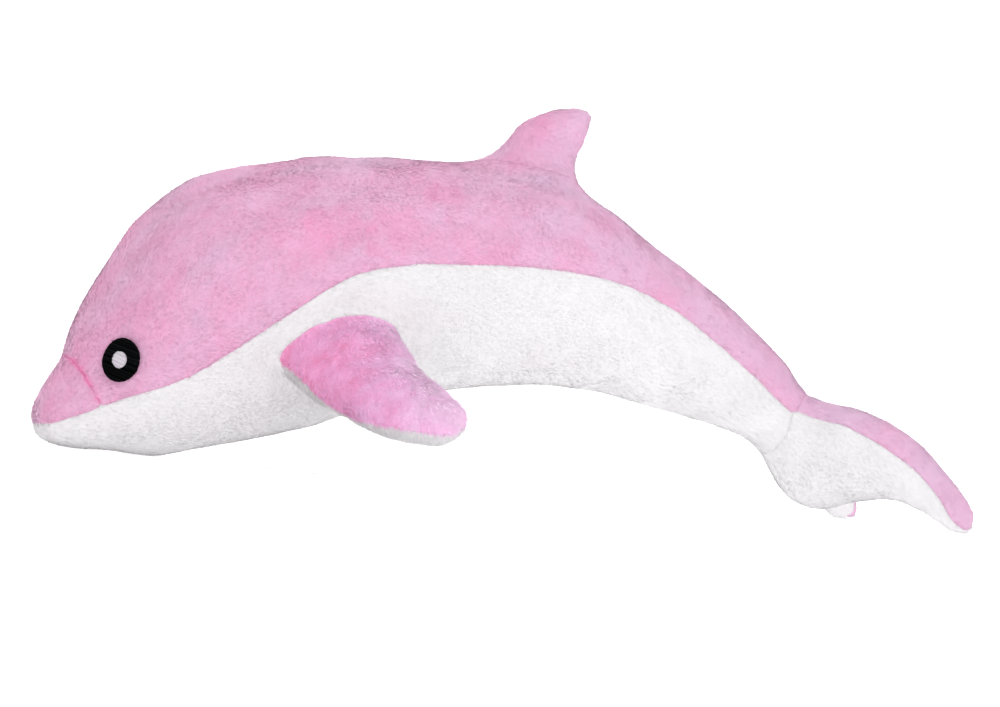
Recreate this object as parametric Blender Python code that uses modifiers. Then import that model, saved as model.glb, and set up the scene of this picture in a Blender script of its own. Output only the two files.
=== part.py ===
"""Plush dolphin: a sewn, stuffed toy of short-pile fabric.

Lengths are in metres. The nose points to -X, the tail to +X, +Z is up, and the toy is symmetric
about Y = 0. It rests on its chin, whose underside is flat at Z = 0, and on its two fluke tips.
Every form is a loft through oval ribs. A rib is an oval with a top or leading edge, a bottom or
trailing edge, and a half width across them. Fabric panels are shells between the loft and the same
loft set in by the fabric's thickness, and the stuffing is the loft set in a little more.
"""
import bpy
import bmesh
from math import acos, ceil, cos, pi, radians, sin
from mathutils import Euler, Matrix, Vector

# Fabric, seams and fits.
FABRIC = 0.0018            # pile fabric, backing and pressed pile together
CLEARANCE = 0.0003         # between pieces that touch
ROOT_CLEARANCE = 0.0005    # between the body and what is sewn on it
SEAM_DEPTH = 0.0016        # how far a seam is drawn in by its stitches
SEAM_WIDTH = 0.005         # from a seam's stitches to where the panel is full again
ROW_LENGTH = 0.019         # longest step between two rows of a loft
THINNEST = 0.00005         # half of what is left where a loft closes
SPINE_RISE = 1.6           # how much steeper the spine seam's valley is than the others
SPINE_EDGE = 0.65          # where a back panel is full again beside the spine seam, of SEAM_WIDTH
NARROW_EDGE = 0.3          # the most of a narrow panel that one seam's valley takes
END_ROOM = 3 * SEAM_WIDTH  # over which the seams fade out towards the body's ends
ROW_SPACE = 0.4 * SEAM_WIDTH  # least distance between two rows beside the beak's seam
MERGE = 0.00002            # points closer than this become one
STEP_SLACK = 0.05          # how much over ROW_LENGTH a step may be, as a share

# Body ribs from nose to tail: the back's x and z, the keel's x and z, half the width, and the
# share of the rib's height that is above the colour seam.
BODY_RIBS = [
    (-0.250, 0.01015, -0.250, 0.00985, 0.012, 0.50),
    (-0.2505, 0.0185, -0.244, 0.0015, 0.0165, 0.50),
    (-0.2485, 0.026, -0.233, -0.001, 0.0205, 0.47),
    (-0.239, 0.045, -0.211, -0.0025, 0.027, 0.50),
    (-0.226, 0.081, -0.196, -0.0012, 0.039, 0.62),
    (-0.210, 0.115, -0.179, 0.0035, 0.048, 0.68),
    (-0.184, 0.139, -0.159, 0.010, 0.054, 0.645),
    (-0.154, 0.149, -0.134, 0.0155, 0.057, 0.54),
    (-0.123, 0.158, -0.105, 0.024, 0.057, 0.45),
    (-0.088, 0.162, -0.074, 0.037, 0.055, 0.44),
    (-0.052, 0.165, -0.040, 0.047, 0.052, 0.457),
    (-0.017, 0.167, -0.009, 0.053, 0.050, 0.468),
    (0.015, 0.163, 0.018, 0.056, 0.047, 0.465),
    (0.046, 0.151, 0.044, 0.056, 0.042, 0.43),
    (0.077, 0.134, 0.068, 0.053, 0.036, 0.40),
    (0.109, 0.117, 0.093, 0.049, 0.031, 0.43),
    (0.138, 0.099, 0.116, 0.046, 0.026, 0.48),
    (0.156, 0.0835, 0.134, 0.041, 0.0235, 0.50),
    (0.167, 0.071, 0.147, 0.034, 0.021, 0.49),
    (0.1675, 0.064, 0.155, 0.039, 0.015, 0.50),
    (0.1645, 0.05115, 0.1645, 0.05085, 0.007, 0.50),
]
FIN_STRIPS = 7             # strips of a fin panel, from its leading to its trailing edge
BEAK_RIB = 3               # the rib along which the beak is sewn to the head
BACK_STRIPS = 5            # strips of a back panel, from the spine to the colour seam
BELLY_STRIPS = 6           # strips of half the belly panel, from the colour seam to the keel

# Dorsal fin ribs from root to tip: the leading edge's x and z, the trailing edge's x and z.
DORSAL_RIBS = [
    (-0.052, 0.142, 0.034, 0.136),
    (-0.034, 0.167, 0.026, 0.161),
    (-0.021, 0.182, 0.0255, 0.174),
    (-0.007, 0.193, 0.027, 0.185),
    (0.008, 0.1995, 0.0285, 0.193),
    (0.018, 0.202, 0.0295, 0.198),
    (0.0225, 0.2025, 0.0285, 0.2005),
]
DORSAL_THICKNESS = 0.026   # at the root
DORSAL_FULLNESS = (1.0, 0.9, 0.78, 0.66, 0.52, 0.40, 0.0)

# Flipper ribs along its span: distance from the root, leading edge, trailing edge, fullness.
FLIPPER_RIBS = [
    (-0.45, -0.42, 0.58, 1.00),
    (0.00, -0.43, 0.57, 1.00),
    (0.24, -0.50, 0.41, 0.92),
    (0.50, -0.55, 0.19, 0.80),
    (0.75, -0.51, 0.07, 0.66),
    (0.91, -0.42, 0.00, 0.52),
    (1.00, -0.30, -0.10, 0.00),
]
FLIPPER_LENGTH = 0.086
FLIPPER_CHORD = 0.064      # across the root
FLIPPER_THICKNESS = 0.036
FLIPPER_STATION = 0.156    # from the nose, along the body
FLIPPER_DEPTH = 0.73       # share of the body's height above the flipper's root
FLIPPER_DROOP = radians(19)
FLIPPER_PITCH = radians(30)
FLIPPER_SWEEP = radians(27)
FLIPPER_SEAM = radians(12)  # from the leading edge up to the seam, round the oval

# Fluke ribs from the middle to a tip: distance out, leading edge, trailing edge, lift, fullness.
FLUKE_RIBS = [
    (0.000, -0.012, 0.059, 0.001, 1.00),
    (0.015, -0.011, 0.061, 0.004, 0.95),
    (0.028, -0.001, 0.067, 0.008, 0.87),
    (0.040, 0.011, 0.076, 0.011, 0.78),
    (0.050, 0.029, 0.087, 0.0115, 0.67),
    (0.057, 0.050, 0.096, 0.009, 0.57),
    (0.061, 0.072, 0.103, 0.005, 0.45),
    (0.063, 0.084, 0.102, 0.001, 0.00),
]
FLUKE_LENGTH = FLUKE_RIBS[-1][2]
FLUKE_THICKNESS = 0.044    # in the middle
FLUKE_SLOPE = radians(30)
FLUKE_PRESS = 0.0004       # how far the toy's weight flattens the tips on the floor
FLUKE_START = 0.156        # where the flukes' middle is along X

# Steps that measure the body's surface.
STATION_STEP = 0.004
ANGLE_STEP = 0.05

# Embroidered eyes.
EYE_STATION = 0.043        # from the nose, along the body
EYE_DEPTH = 0.34           # share of the head's height above the eye
EYE_WIDTH = 0.0185
EYE_HEIGHT = 0.0215
EYE_THICKNESS = 0.0010
EYE_START = 0.03           # how far off the head the ovals are before they are laid on it
EYE_LEAN = radians(10)
EYE_SIDES = 24
EYE_RINGS = (0.12, 0.12, 0.12)
GLINT_WIDTH = 0.0070
GLINT_HEIGHT = 0.0080
GLINT_THICKNESS = 0.0006
GLINT_GAP = 0.0004         # between the light oval and the dark one's facets


def blend(keys, position):
    """Reads a smooth curve through keys, a list of positions and values, at one position."""
    last = len(keys) - 2
    i = 0
    while i < last and position > keys[i + 1][0]:
        i += 1
    slopes = [(keys[k + 1][1] - keys[k][1]) / (keys[k + 1][0] - keys[k][0])
              for k in range(last + 1)]

    def tangent(k):
        if k == 0 or k == last + 1:
            return slopes[min(k, last)]
        before = keys[k][0] - keys[k - 1][0]
        after = keys[k + 1][0] - keys[k][0]
        return (slopes[k - 1] * after + slopes[k] * before) / (before + after)

    step = keys[i + 1][0] - keys[i][0]
    u = (position - keys[i][0]) / step
    return (keys[i][1] * ((1 + 2 * u) * (1 - u) ** 2)
            + keys[i + 1][1] * (u * u * (3 - 2 * u))
            + tangent(i) * (step * u * (1 - u) ** 2)
            + tangent(i + 1) * (step * u * u * (u - 1)))


class Loft:
    """A smooth tube through oval ribs: centre, half height to the first edge, half width."""

    def __init__(self, ribs, closed_start=False):
        self.positions = [0.0]
        for before, after in zip(ribs, ribs[1:]):
            self.positions.append(self.positions[-1] + (after[0] - before[0]).length)
        self.length = self.positions[-1]
        self.tracks = [[(q, rib[k]) for q, rib in zip(self.positions, ribs)] for k in range(3)]
        self.closed_start = closed_start
        self.rows = []
        for start, end in zip(self.positions, self.positions[1:]):
            steps = max(1, ceil((end - start) / ROW_LENGTH - STEP_SLACK))
            self.rows += [start + (end - start) * k / steps for k in range(steps)]
        self.rows.append(self.length)

    def point(self, position, angle, inset=0.0):
        """The point at an angle from the first edge, set in towards the middle by inset."""
        deep = max(inset, 0.0)
        position = min(max(position, deep if self.closed_start else 0.0), self.length - deep)
        centre, up, side = (blend(track, position) for track in self.tracks)
        dip = self.dip(position, angle)
        point = centre.copy()
        if inset < 0 and position in (0.0, self.length):
            # A loft that is grown grows past its ends too.
            inner = self.tracks[0][1 if position == 0.0 else -2][1]
            point += (centre - inner).normalized() * -inset
        for axis, share in ((up, cos(angle)), (side, sin(angle))):
            half = max(axis.length, THINNEST)
            point += axis.normalized() * (share * max(half - inset - dip, THINNEST))
        point.z = max(point.z, inset)
        return point

    def dip(self, position, angle):
        return 0.0


class Body(Loft):
    """The body's loft, drawn in along its seams."""

    def __init__(self):
        ribs = []
        for back_x, back_z, keel_x, keel_z, half_width, _share in BODY_RIBS:
            back = Vector((back_x, 0, back_z))
            keel = Vector((keel_x, 0, keel_z))
            ribs.append(((back + keel) / 2, (back - keel) / 2, Vector((0, half_width, 0))))
        super().__init__(ribs, closed_start=True)
        self.shares = list(zip(self.positions, (rib[5] for rib in BODY_RIBS)))
        self.beak = self.positions[BEAK_RIB]
        extra = [self.beak - SEAM_WIDTH, self.beak + SEAM_WIDTH]
        self.rows = sorted([q for q in self.rows
                            if min(abs(q - e) for e in extra) > ROW_SPACE] + extra)

    def seam(self, position):
        """The angle of the colour seam, from the spine."""
        return acos(1 - 2 * blend(self.shares, position))

    def radius(self, position):
        return (blend(self.tracks[1], position).length + blend(self.tracks[2], position).length) / 2

    def dip(self, position, angle):
        radius = max(self.radius(position), SEAM_WIDTH)
        angle = abs((angle + pi) % (2 * pi) - pi)
        from_seam = abs(angle - self.seam(position)) * radius
        from_beak = abs(position - self.beak)
        from_spine = angle * radius if position > self.beak else SEAM_WIDTH
        nearest = min(from_seam, from_beak, SPINE_RISE * from_spine, SEAM_WIDTH)
        room = min(1.0, position / END_ROOM, (self.length - position) / END_ROOM)
        return SEAM_DEPTH * room * (1 - nearest / SEAM_WIDTH)

    def lines(self, position):
        """The angles of half a row: spine, back panel, colour seam, belly panel, keel."""
        seam = self.seam(position)
        edge = min(SEAM_WIDTH / max(self.radius(position), SEAM_WIDTH),
                   NARROW_EDGE * seam, NARROW_EDGE * (pi - seam))
        spine = edge * SPINE_EDGE
        back = [0.0, spine] + [spine + (seam - edge - spine) * k / (BACK_STRIPS - 2)
                               for k in range(1, BACK_STRIPS - 1)]
        belly = [seam + edge + (pi - seam - edge) * k / (BELLY_STRIPS - 1)
                 for k in range(BELLY_STRIPS)]
        return back + [seam] + belly


def grid_shell(outer, inner):
    """Closes two grids of points, one inside the other, into a shell."""
    shell = bmesh.new()
    layers = [[[shell.verts.new(p) for p in row] for row in grid] for grid in (outer, inner)]
    rows, columns = len(outer), len(outer[0])
    for layer in layers:
        for i in range(rows - 1):
            for j in range(columns - 1):
                shell.faces.new((layer[i][j], layer[i + 1][j], layer[i + 1][j + 1], layer[i][j + 1]))
    rim = [(i, 0) for i in range(rows)] + [(rows - 1, j) for j in range(1, columns)]
    rim += [(i, columns - 1) for i in range(rows - 2, -1, -1)]
    rim += [(0, j) for j in range(columns - 2, 0, -1)]
    for (i, j), (k, m) in zip(rim, rim[1:] + rim[:1]):
        shell.faces.new((layers[0][i][j], layers[0][k][m], layers[1][k][m], layers[1][i][j]))
    return shell


def closed_tube(loft, angles, inset):
    """Closes a loft's rows into a solid."""
    tube = bmesh.new()
    rows = [[tube.verts.new(loft.point(q, angle, inset)) for angle in angles(q)] for q in loft.rows]
    count = len(rows[0])
    for before, after in zip(rows, rows[1:]):
        for j in range(count):
            k = (j + 1) % count
            tube.faces.new((before[j], after[j], after[k], before[k]))
    tube.faces.new(rows[0])
    tube.faces.new(rows[-1])
    return tube


def finish(name, solid, fabric, collection, seat=Vector((0, 0, 0)), parent=None):
    """Makes the object, with its origin at its seat."""
    bmesh.ops.remove_doubles(solid, verts=solid.verts, dist=MERGE)
    bmesh.ops.dissolve_degenerate(solid, edges=solid.edges, dist=MERGE / 2)
    # Every layer's quads are split the same way, so that the layers stay evenly apart.
    bmesh.ops.triangulate(solid, faces=[f for f in solid.faces if len(f.verts) > 3],
                          quad_method="FIXED")
    bmesh.ops.recalc_face_normals(solid, faces=solid.faces)
    mesh = bpy.data.meshes.new(name)
    solid.to_mesh(mesh)
    solid.free()
    mesh.transform(Matrix.Translation(-seat))
    mesh.shade_smooth()
    if fabric:
        mesh.materials.append(fabric)
    made = bpy.data.objects.new(name, mesh)
    made.location = seat
    made.parent = parent
    collection.objects.link(made)
    return made


def material(name, colour, roughness):
    made = bpy.data.materials.new(name)
    made.use_nodes = True
    shader = made.node_tree.nodes["Principled BSDF"]
    shader.inputs["Base Color"].default_value = (*colour, 1.0)
    shader.inputs["Roughness"].default_value = roughness
    shader.inputs["Metallic"].default_value = 0.0
    return made


def cut(piece, cutter):
    """Trims a piece's root to the body it is sewn to."""
    trim = piece.modifiers.new("root seam", "BOOLEAN")
    trim.operation = "DIFFERENCE"
    trim.solver = "EXACT"
    trim.object = cutter


def fin_ring(turn=0.0):
    return [turn + pi * j / FIN_STRIPS for j in range(2 * FIN_STRIPS)]


def fin_panel(loft, first_angle):
    """One side's fabric, from the leading edge to the trailing edge."""
    part_by = blend(loft.tracks[2], loft.length / 2).normalized() * (CLEARANCE / 2)
    if first_angle >= pi:
        part_by = -part_by
    angles = [first_angle + pi * j / FIN_STRIPS for j in range(FIN_STRIPS + 1)]
    grids = [[[loft.point(q, angle, inset) + part_by for angle in angles] for q in loft.rows]
             for inset in (0.0, FABRIC)]
    for grid in grids:
        for row in grid:
            for point in row:
                point.z = max(point.z, 0.0)
    return grid_shell(*grids)


def fin(names, fabrics, ribs, collection, seat, root, cutter, tip_to_tip=False, turn=0.0):
    """A stuffed fin: two panels and stuffing, trimmed where they meet the body.

    turn is how far round from the leading edge the seam lies, towards the first panel.
    """
    loft = Loft(ribs, closed_start=tip_to_tip)
    stuffing = closed_tube(loft, lambda _position: fin_ring(turn), FABRIC + CLEARANCE)
    made = [
        finish(names[0], fin_panel(loft, turn), fabrics[0], collection, seat, root),
        finish(names[1], fin_panel(loft, turn + pi), fabrics[1], collection, seat, root),
        finish(names[2], stuffing, fabrics[2], collection, seat, root),
    ]
    for piece in made:
        cut(piece, cutter)


def fluke_ribs(height):
    """The flukes' ribs from tip to tip, with their middle that high."""
    seat = Vector((FLUKE_START, 0, height))
    turned = Euler((0, FLUKE_SLOPE, 0)).to_matrix()
    ribs = []
    mirrored = [(-out, *rest) for out, *rest in FLUKE_RIBS[:0:-1]] + FLUKE_RIBS
    for out, lead, trail, lift, fullness in mirrored:
        first = turned @ Vector((lead, out, lift))
        last = turned @ Vector((trail, out, lift))
        half = turned @ Vector((0, 0, max(FLUKE_THICKNESS / 2 * fullness, THINNEST)))
        ribs.append((seat + (first + last) / 2, (first - last) / 2, half))
    return ribs


def lowest(ribs):
    """The height of a fin's lowest point, for ribs that stand clear above the floor."""
    loft = Loft(ribs, closed_start=True)
    return min(loft.point(q, angle).z for q in loft.rows for angle in fin_ring())


def body_panel(body, rows, angles, part_by):
    """A panel of the body's fabric. part_by moves it clear of the panels next to it."""
    grids = []
    for inset in (0.0, FABRIC):
        grids.append([[body.point(q, angle, inset) + part_by for angle in angles(q)] for q in rows])
        for row in grids[-1]:
            for point in row:
                point.z = max(point.z, inset)
    return grid_shell(*grids)


def surface(body, station, depth, side):
    """A point on the body's side, its outward normal and the direction towards the spine."""
    angle = side * acos(1 - 2 * depth)
    here = body.point(station, angle)
    along = body.point(station + STATION_STEP, angle) - body.point(station - STATION_STEP, angle)
    turn = side * ANGLE_STEP
    spineward = body.point(station, angle - turn) - body.point(station, angle + turn)
    normal = along.cross(spineward).normalized()
    if normal.y * side < 0:
        normal.negate()
    return here, normal, spineward.normalized()


def patch(name, fabric, collection, place, width, height, top, thickness, cutter, root):
    """An embroidered oval that follows the head's surface. top is its outer side's height."""
    disc = bmesh.new()
    bmesh.ops.create_circle(disc, cap_ends=True, radius=0.5, segments=EYE_SIDES)
    for share in EYE_RINGS:
        middle = max(disc.faces, key=lambda f: len(f.verts))
        bmesh.ops.inset_individual(disc, faces=[middle], thickness=share)
    middle = max(disc.faces, key=lambda f: len(f.verts))
    bmesh.ops.poke(disc, faces=[middle])
    bmesh.ops.scale(disc, vec=(width, height, 1.0), verts=disc.verts)
    mesh = bpy.data.meshes.new(name)
    disc.to_mesh(mesh)
    disc.free()
    mesh.shade_smooth()
    mesh.materials.append(fabric)
    made = bpy.data.objects.new(name, mesh)
    made.matrix_world = place
    made.parent = root
    collection.objects.link(made)
    wrap = made.modifiers.new("on the head", "SHRINKWRAP")
    wrap.target = cutter
    wrap.wrap_method = "PROJECT"
    wrap.use_project_z = True
    wrap.use_negative_direction = True
    wrap.use_positive_direction = False
    wrap.offset = top - ROOT_CLEARANCE
    thicken = made.modifiers.new("thread", "SOLIDIFY")
    thicken.thickness = thickness
    thicken.offset = -1.0
    return made


def eye(side, body, threads, collection, cutter, root):
    """The dark oval and the light one on it."""
    word = "left" if side < 0 else "right"
    here, normal, spineward = surface(body, EYE_STATION, EYE_DEPTH, side)
    upright = Vector((0, 0, 1)) - normal * normal.z
    lean = Matrix.Rotation(side * EYE_LEAN, 3, normal)
    y_axis = lean @ upright.normalized()
    x_axis = y_axis.cross(normal)
    turned = Matrix((x_axis, y_axis, normal)).transposed().to_4x4()
    place = Matrix.Translation(here + normal * EYE_START) @ turned
    top = ROOT_CLEARANCE + EYE_THICKNESS
    dark = patch("eye_" + word, threads[0], collection, place, EYE_WIDTH, EYE_HEIGHT, top,
                 2 * EYE_THICKNESS, cutter, root)
    cut(dark, cutter)
    patch("eye_" + word + "_highlight", threads[1], collection, place, GLINT_WIDTH, GLINT_HEIGHT,
          top + GLINT_GAP + GLINT_THICKNESS, GLINT_THICKNESS, cutter, root)


def build():
    for old in list(bpy.data.objects):
        bpy.data.objects.remove(old, do_unlink=True)
    toy = bpy.data.collections.new("plush_dolphin")
    cutters = bpy.data.collections.new("plush_dolphin_cutters")
    bpy.context.scene.collection.children.link(toy)
    bpy.context.scene.collection.children.link(cutters)
    pink = material("pink_plush", (0.807, 0.434, 0.658), 0.95)
    white = material("white_plush", (0.896, 0.880, 0.888), 0.95)
    filling = material("polyester_fill", (0.85, 0.85, 0.83), 1.0)
    black_thread = material("black_thread", (0.004, 0.005, 0.005), 0.6)
    white_thread = material("white_thread", (0.73, 0.70, 0.74), 0.6)
    root = bpy.data.objects.new("plush_dolphin_root", None)
    root.empty_display_size = 0.05
    toy.objects.link(root)

    body = Body()

    def ring(position):
        half = body.lines(position)
        return half + [2 * pi - angle for angle in half[-2:0:-1]]

    space = finish("body_space", closed_tube(body, ring, -ROOT_CLEARANCE), None, cutters)
    space.hide_render = True
    space.display_type = "WIRE"
    space.parent = root

    # The body: two back panels, the beak and the belly, over one stuffing.
    half_gap = CLEARANCE / 2
    head_seam = body.beak + half_gap
    back_rows = [head_seam] + [q for q in body.rows if q > body.beak + half_gap]
    beak_rows = [q for q in body.rows if q < body.beak - half_gap] + [body.beak - half_gap]
    for side, word in ((-1, "left"), (1, "right")):
        def back_lines(position, side=side):
            half = body.lines(position)[:BACK_STRIPS + 1]
            return [-angle for angle in half[::-1]] if side < 0 else half

        shell = body_panel(body, back_rows, back_lines, Vector((0, side * half_gap, half_gap)))
        finish("back_panel_" + word, shell, pink, toy, parent=root)

    def beak_lines(position):
        half = body.lines(position)[:BACK_STRIPS + 1]
        return [-angle for angle in half[:0:-1]] + half

    def belly_lines(position):
        half = body.lines(position)[BACK_STRIPS:]
        return half + [2 * pi - angle for angle in half[-2::-1]]

    shell = body_panel(body, beak_rows, beak_lines, Vector((0, 0, half_gap)))
    finish("beak_panel", shell, pink, toy, parent=root)
    shell = body_panel(body, body.rows, belly_lines, Vector((0, 0, -half_gap)))
    finish("belly_panel", shell, white, toy, parent=root)
    finish("body_stuffing", closed_tube(body, ring, FABRIC + CLEARANCE), filling, toy, parent=root)

    # The dorsal fin, sewn into the spine seam.
    ribs = []
    for (lead_x, lead_z, trail_x, trail_z), fullness in zip(DORSAL_RIBS, DORSAL_FULLNESS):
        lead = Vector((lead_x, 0, lead_z))
        trail = Vector((trail_x, 0, trail_z))
        half = max(DORSAL_THICKNESS / 2 * fullness, THINNEST)
        ribs.append(((lead + trail) / 2, (lead - trail) / 2, Vector((0, half, 0))))
    fin(("dorsal_fin_right", "dorsal_fin_left", "dorsal_fin_stuffing"), (pink, pink, filling),
        ribs, toy, ribs[1][0], root, space)

    # The flippers, on the sides behind the head.
    for side, word in ((-1, "left"), (1, "right")):
        seat, _normal, _spineward = surface(body, FLIPPER_STATION, FLIPPER_DEPTH, side)
        turned = Euler((-side * FLIPPER_DROOP, -FLIPPER_PITCH, -side * FLIPPER_SWEEP)).to_matrix()
        ribs = []
        for out, lead, trail, fullness in FLIPPER_RIBS:
            first = turned @ Vector((lead * FLIPPER_CHORD, side * out * FLIPPER_LENGTH, 0))
            last = turned @ Vector((trail * FLIPPER_CHORD, side * out * FLIPPER_LENGTH, 0))
            half = turned @ Vector((0, 0, max(FLIPPER_THICKNESS / 2 * fullness, THINNEST)))
            ribs.append((seat + (first + last) / 2, (first - last) / 2, half))
        fin(["flipper_" + word + end for end in ("_top", "_underside", "_stuffing")],
            (pink, white, filling), ribs, toy, seat, root, space, turn=FLIPPER_SEAM)

    # The flukes: one fin from tip to tip, sewn to the end of the tail, with its tips on the floor.
    clear = 2 * FLUKE_LENGTH
    height = clear - lowest(fluke_ribs(clear)) - FLUKE_PRESS
    fin(("fluke_top", "fluke_underside", "fluke_stuffing"), (pink, white, filling),
        fluke_ribs(height), toy, Vector((FLUKE_START, 0, height)), root, space, tip_to_tip=True)

    for side in (-1, 1):
        eye(side, body, (black_thread, white_thread), toy, space, root)

    # The toy stands centred over the origin.
    bpy.context.view_layer.update()
    graph = bpy.context.evaluated_depsgraph_get()
    ends = []
    for piece in toy.objects:
        if piece.type == "MESH":
            box = piece.evaluated_get(graph).bound_box
            ends += [(piece.matrix_world @ Vector(corner)).x for corner in box]
    root.location.x = -(min(ends) + max(ends)) / 2


build()
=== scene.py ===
from collections import namedtuple
from math import ceil, cos, pi, radians, sin

import bmesh
import bpy
import numpy as np
from mathutils import Matrix, Vector
from mathutils.bvhtree import BVHTree
from mathutils.kdtree import KDTree


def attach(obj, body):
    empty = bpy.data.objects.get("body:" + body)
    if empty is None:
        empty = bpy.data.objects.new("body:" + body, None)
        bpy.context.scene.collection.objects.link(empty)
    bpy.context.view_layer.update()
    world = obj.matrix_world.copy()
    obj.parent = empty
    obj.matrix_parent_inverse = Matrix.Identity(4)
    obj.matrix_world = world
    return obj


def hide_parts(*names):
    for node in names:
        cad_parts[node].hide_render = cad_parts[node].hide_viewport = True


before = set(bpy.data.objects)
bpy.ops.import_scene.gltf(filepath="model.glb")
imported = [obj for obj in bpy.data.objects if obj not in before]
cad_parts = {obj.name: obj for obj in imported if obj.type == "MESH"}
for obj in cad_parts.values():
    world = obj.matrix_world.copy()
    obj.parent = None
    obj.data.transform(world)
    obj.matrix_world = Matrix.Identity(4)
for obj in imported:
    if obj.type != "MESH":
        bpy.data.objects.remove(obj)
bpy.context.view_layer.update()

# Lengths are metres, in the row frame: +X is the tail end, +Z is up, the left side is -Y.
MM = 0.001
DRAWS = np.random.default_rng(7)

# Soft forms.
WELD = 0.01 * MM              # between the CAD's loose triangles
VOXEL = 3.0 * MM              # of the remeshed form
PLUMP = -0.9 * MM             # from the CAD's surface, which is the pile's, to the backing
CLOTH = 0.7 * MM              # thickness of the knitted backing
FIN_FAIRING = 14              # rounds of smoothing that even out facets, on the fins
BODY_FAIRING = 160            # and on the body, whose facets are larger
SHRINK, SWELL = 0.5, -0.505   # the two averagings of a round, which keep the form's size
FIN_EDGE = (3 * MM, 14 * MM)  # from a fin, where the body's fairing begins and is full
LOOKS_BACK = 3                # how often the smooth form is set back to the CAD's surface
FACET = 0.8 * MM              # how far the CAD's flat facets lie from its true curves
BODY_EVENING, FIN_EVENING, EDGE_EVENING = 20, 4, 1  # rounds that even out a look back
BULGE_EVENING = 8             # rounds that even out the way in which filling pushes
LABEL_EVENING = 3             # rounds that even out the seams' lines
FLOOR_CLEARANCE = 0.2 * MM

# Uneven filling: (x, y, z) of the spot, how widely and by how much the skin is full (+) or
# slack (-) there. A spot off the middle has its twin on the other side.
FILLING_SPOTS = (
    ((-0.228, 0.000, 0.064), 24 * MM, 3.0 * MM),    # brow
    ((-0.250, 0.000, 0.012), 12 * MM, 0.4 * MM),    # tip of the beak
    ((-0.162, 0.020, 0.012), 28 * MM, 1.8 * MM),    # throat
    ((-0.122, 0.020, 0.025), 22 * MM, 1.4 * MM),
    ((-0.128, 0.058, 0.034), 16 * MM, 2.5 * MM),    # flippers, low in front
    ((-0.030, 0.000, 0.168), 15 * MM, 3.2 * MM),    # where the dorsal fin starts
    ((0.020, 0.010, 0.157), 9 * MM, 1.3 * MM),      # and where it ends
    ((0.027, 0.000, 0.172), 10 * MM, -0.9 * MM),    # hollow of its back edge
    ((0.070, 0.010, 0.132), 40 * MM, -0.8 * MM),    # back, towards the tail
    ((0.126, 0.010, 0.088), 24 * MM, -1.4 * MM),
    ((0.170, 0.024, 0.066), 14 * MM, 2.2 * MM),     # flukes, at the tail and out on top
    ((0.205, 0.046, 0.052), 26 * MM, 2.0 * MM),
    ((0.179, 0.012, 0.018), 25 * MM, 4.8 * MM),     # and the full fold under them
)

# Panels: the CAD nodes that each one stands for, its material slot and its fill.
PANELS = {
    "back_plush": (("back_panel_left", "back_panel_right"), "pink_plush", 0.9),
    "beak_plush": (("beak_panel",), "pink_plush", 0.95),
    "belly_plush": (("belly_panel",), "white_plush", 0.85),
    "dorsal_fin_plush": (("dorsal_fin_left", "dorsal_fin_right"), "pink_plush", 0.8),
    "flipper_left_top_plush": (("flipper_left_top",), "pink_plush", 0.75),
    "flipper_left_underside_plush": (("flipper_left_underside",), "white_plush", 0.75),
    "flipper_right_top_plush": (("flipper_right_top",), "pink_plush", 0.75),
    "flipper_right_underside_plush": (("flipper_right_underside",), "white_plush", 0.75),
    "fluke_top_plush": (("fluke_top",), "pink_plush", 0.8),
    "fluke_underside_plush": (("fluke_underside",), "white_plush", 0.8),
}
# The filling goes with the panels that hide it.
FILLING = {
    "back_plush": ("body_stuffing",),
    "belly_plush": ("body_stuffing",),
    "dorsal_fin_plush": ("dorsal_fin_stuffing",),
    "flipper_left_top_plush": ("flipper_left_stuffing",),
    "flipper_left_underside_plush": ("flipper_left_stuffing",),
    "flipper_right_top_plush": ("flipper_right_stuffing",),
    "flipper_right_underside_plush": ("flipper_right_stuffing",),
    "fluke_top_plush": ("fluke_stuffing",),
    "fluke_underside_plush": ("fluke_stuffing",),
}

# How far thread draws a seam in, by the panels that it joins; the first line that fits holds.
SEAM_DEPTHS = (
    ({"beak_plush", "back_plush"}, 0.2 * MM),
    ({"beak_plush"}, 0.5 * MM),
    ({"dorsal_fin_plush"}, 0.2 * MM),
    ({"fluke_underside_plush", "belly_plush"}, 0.0),
    (set(), 0.7 * MM),
)
SEAM_REACH = 4.0 * MM
CUT_MARGIN = 0.04             # of an edge: a seam's cut keeps this far from its ends
# Where a panel's edge is eased back: the panel, the spot, how widely and how far.
EASED = (
    ("flipper_left_underside_plush", (-0.118, 0.075, 0.035), 28 * MM, 10 * MM),
    ("flipper_right_underside_plush", (-0.118, 0.075, 0.035), 28 * MM, 10 * MM),
    ("fluke_top_plush", (0.222, 0.055, 0.036), 28 * MM, 4 * MM),
)
# Round a fin's root the skin is pulled into a hollow curve instead of a corner.
HOLLOW = {
    "dorsal_fin_plush": 22 * MM,
    "fluke_underside_plush": 28 * MM,
    "flipper_left_top_plush": 5 * MM,
    "flipper_right_top_plush": 5 * MM,
}
HOLLOW_ROUNDS = 160

# Pile. A tuft stands for the dozens of fibres that cling together in brushed polyester plush.
# density is in tufts for each square millimetre, lean is from upright.
Kind = namedtuple("Kind", "length radius density lean")
SHORT_PILE = Kind(1.9 * MM, 0.13 * MM, 1.55, radians(72))
WHITE_PILE = Kind(1.7 * MM, 0.11 * MM, 1.35, radians(74))
LONG_PILE = Kind(3.1 * MM, 0.15 * MM, 2.9, radians(70))
HANG = 0.55                   # how far long pile, which hangs off the fins, is lit from the side
TUFT_ROUND = 0.07             # how much a tuft's sides catch the light differently
TUFT_SIDES = 3
TUFT_WELD = 0.0001            # of a tuft of unit size
ROOT_SUNK = 0.5               # of a tuft's radius, into the skin
SHORTEST, LONGEST = 0.45, 1.5      # of the pile's length
THINNEST, THICKEST = 0.75, 1.25    # of the tuft's radius
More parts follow.
